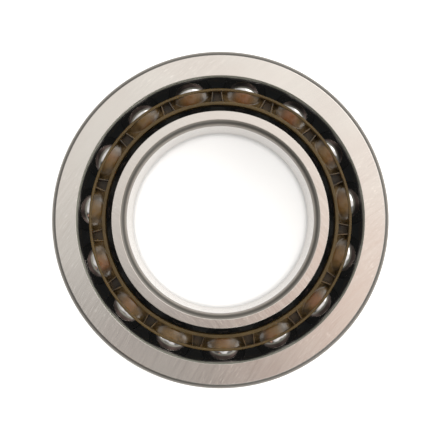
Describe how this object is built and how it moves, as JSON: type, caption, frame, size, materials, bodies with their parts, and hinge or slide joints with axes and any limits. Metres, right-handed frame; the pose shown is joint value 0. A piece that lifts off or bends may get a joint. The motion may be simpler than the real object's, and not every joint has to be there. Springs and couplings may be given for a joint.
{
  "type": "angular contact ball bearing",
  "caption": "Single-row angular contact ball bearing with a moulded polyamide window cage: the inner ring turns in the outer ring and the balls roll round with the cage.",
  "frame": {"origin": "on the bearing's axis, in the plane of the lower side face it rests on", "axes": "+Z is the bearing's axis and up, from the lower face to the outer ring's wide face; +X passes through the centre of ball_01"},
  "size_m": [0.09, 0.09, 0.02],
  "materials": {
    "ring_steel": "ground bearing steel, fine grinding lines, honed raceways",
    "ball_steel": "lapped bearing steel, mirror bright",
    "cage_polyamide": "moulded glass-fibre-filled polyamide, olive brown, slightly translucent and satin"
  },
  "bodies": {
    "outer_ring": {"outer_ring": "ring_steel"},
    "inner_ring": {"inner_ring": "ring_steel"},
    "cage": {"cage": "cage_polyamide"},
    "ball_01": {"ball_01": "ball_steel"},
    "ball_02": {"ball_02": "ball_steel"},
    "ball_03": {"ball_03": "ball_steel"},
    "ball_04": {"ball_04": "ball_steel"},
    "ball_05": {"ball_05": "ball_steel"},
    "ball_06": {"ball_06": "ball_steel"},
    "ball_07": {"ball_07": "ball_steel"},
    "ball_08": {"ball_08": "ball_steel"},
    "ball_09": {"ball_09": "ball_steel"},
    "ball_10": {"ball_10": "ball_steel"},
    "ball_11": {"ball_11": "ball_steel"},
    "ball_12": {"ball_12": "ball_steel"},
    "ball_13": {"ball_13": "ball_steel"},
    "ball_14": {"ball_14": "ball_steel"},
    "ball_15": {"ball_15": "ball_steel"}
  },
  "joints": [
    {"name": "inner_ring_spin", "type": "hinge", "parent": "outer_ring", "child": "inner_ring", "pos_m": [0, 0, 0.01], "axis": [0, 0, 1], "continuous": true},
    {"name": "cage_spin", "type": "hinge", "parent": "outer_ring", "child": "cage", "pos_m": [0, 0, 0.01], "axis": [0, 0, 1], "continuous": true},
    {"name": "ball_01_spin", "type": "hinge", "parent": "cage", "child": "ball_01", "pos_m": [0.035, 0, 0.01], "axis": [-0.6428, 0, 0.766], "continuous": true},
    {"name": "ball_02_spin", "type": "hinge", "parent": "cage", "child": "ball_02", "pos_m": [0.03197, 0.01424, 0.01], "axis": [-0.5872, -0.2614, 0.766], "continuous": true},
    {"name": "ball_03_spin", "type": "hinge", "parent": "cage", "child": "ball_03", "pos_m": [0.02342, 0.02601, 0.01], "axis": [-0.4301, -0.4777, 0.766], "continuous": true},
    {"name": "ball_04_spin", "type": "hinge", "parent": "cage", "child": "ball_04", "pos_m": [0.01082, 0.03329, 0.01], "axis": [-0.1986, -0.6113, 0.766], "continuous": true},
    {"name": "ball_05_spin", "type": "hinge", "parent": "cage", "child": "ball_05", "pos_m": [-0.00366, 0.03481, 0.01], "axis": [0.0672, -0.6393, 0.766], "continuous": true},
    {"name": "ball_06_spin", "type": "hinge", "parent": "cage", "child": "ball_06", "pos_m": [-0.0175, 0.03031, 0.01], "axis": [0.3214, -0.5567, 0.766], "continuous": true},
    {"name": "ball_07_spin", "type": "hinge", "parent": "cage", "child": "ball_07", "pos_m": [-0.02832, 0.02057, 0.01], "axis": [0.52, -0.3778, 0.766], "continuous": true},
    {"name": "ball_08_spin", "type": "hinge", "parent": "cage", "child": "ball_08", "pos_m": [-0.03424, 0.00728, 0.01], "axis": [0.6287, -0.1336, 0.766], "continuous": true},
    {"name": "ball_09_spin", "type": "hinge", "parent": "cage", "child": "ball_09", "pos_m": [-0.03424, -0.00728, 0.01], "axis": [0.6287, 0.1336, 0.766], "continuous": true},
    {"name": "ball_10_spin", "type": "hinge", "parent": "cage", "child": "ball_10", "pos_m": [-0.02832, -0.02057, 0.01], "axis": [0.52, 0.3778, 0.766], "continuous": true},
    {"name": "ball_11_spin", "type": "hinge", "parent": "cage", "child": "ball_11", "pos_m": [-0.0175, -0.03031, 0.01], "axis": [0.3214, 0.5567, 0.766], "continuous": true},
    {"name": "ball_12_spin", "type": "hinge", "parent": "cage", "child": "ball_12", "pos_m": [-0.00366, -0.03481, 0.01], "axis": [0.0672, 0.6393, 0.766], "continuous": true},
    {"name": "ball_13_spin", "type": "hinge", "parent": "cage", "child": "ball_13", "pos_m": [0.01082, -0.03329, 0.01], "axis": [-0.1986, 0.6113, 0.766], "continuous": true},
    {"name": "ball_14_spin", "type": "hinge", "parent": "cage", "child": "ball_14", "pos_m": [0.02342, -0.02601, 0.01], "axis": [-0.4301, 0.4777, 0.766], "continuous": true},
    {"name": "ball_15_spin", "type": "hinge", "parent": "cage", "child": "ball_15", "pos_m": [0.03197, -0.01424, 0.01], "axis": [-0.5872, 0.2614, 0.766], "continuous": true}
  ],
  "couplings": [
    {"joint": "cage_spin", "follows": "inner_ring_spin", "ratio": 0.43051},
    {"joint": "ball_01_spin", "follows": "inner_ring_spin", "ratio": -2.7027},
    {"joint": "ball_02_spin", "follows": "inner_ring_spin", "ratio": -2.7027},
    {"joint": "ball_03_spin", "follows": "inner_ring_spin", "ratio": -2.7027},
    {"joint": "ball_04_spin", "follows": "inner_ring_spin", "ratio": -2.7027},
    {"joint": "ball_05_spin", "follows": "inner_ring_spin", "ratio": -2.7027},
    {"joint": "ball_06_spin", "follows": "inner_ring_spin", "ratio": -2.7027},
    {"joint": "ball_07_spin", "follows": "inner_ring_spin", "ratio": -2.7027},
    {"joint": "ball_08_spin", "follows": "inner_ring_spin", "ratio": -2.7027},
    {"joint": "ball_09_spin", "follows": "inner_ring_spin", "ratio": -2.7027},
    {"joint": "ball_10_spin", "follows": "inner_ring_spin", "ratio": -2.7027},
    {"joint": "ball_11_spin", "follows": "inner_ring_spin", "ratio": -2.7027},
    {"joint": "ball_12_spin", "follows": "inner_ring_spin", "ratio": -2.7027},
    {"joint": "ball_13_spin", "follows": "inner_ring_spin", "ratio": -2.7027},
    {"joint": "ball_14_spin", "follows": "inner_ring_spin", "ratio": -2.7027},
    {"joint": "ball_15_spin", "follows": "inner_ring_spin", "ratio": -2.7027}
  ]
}
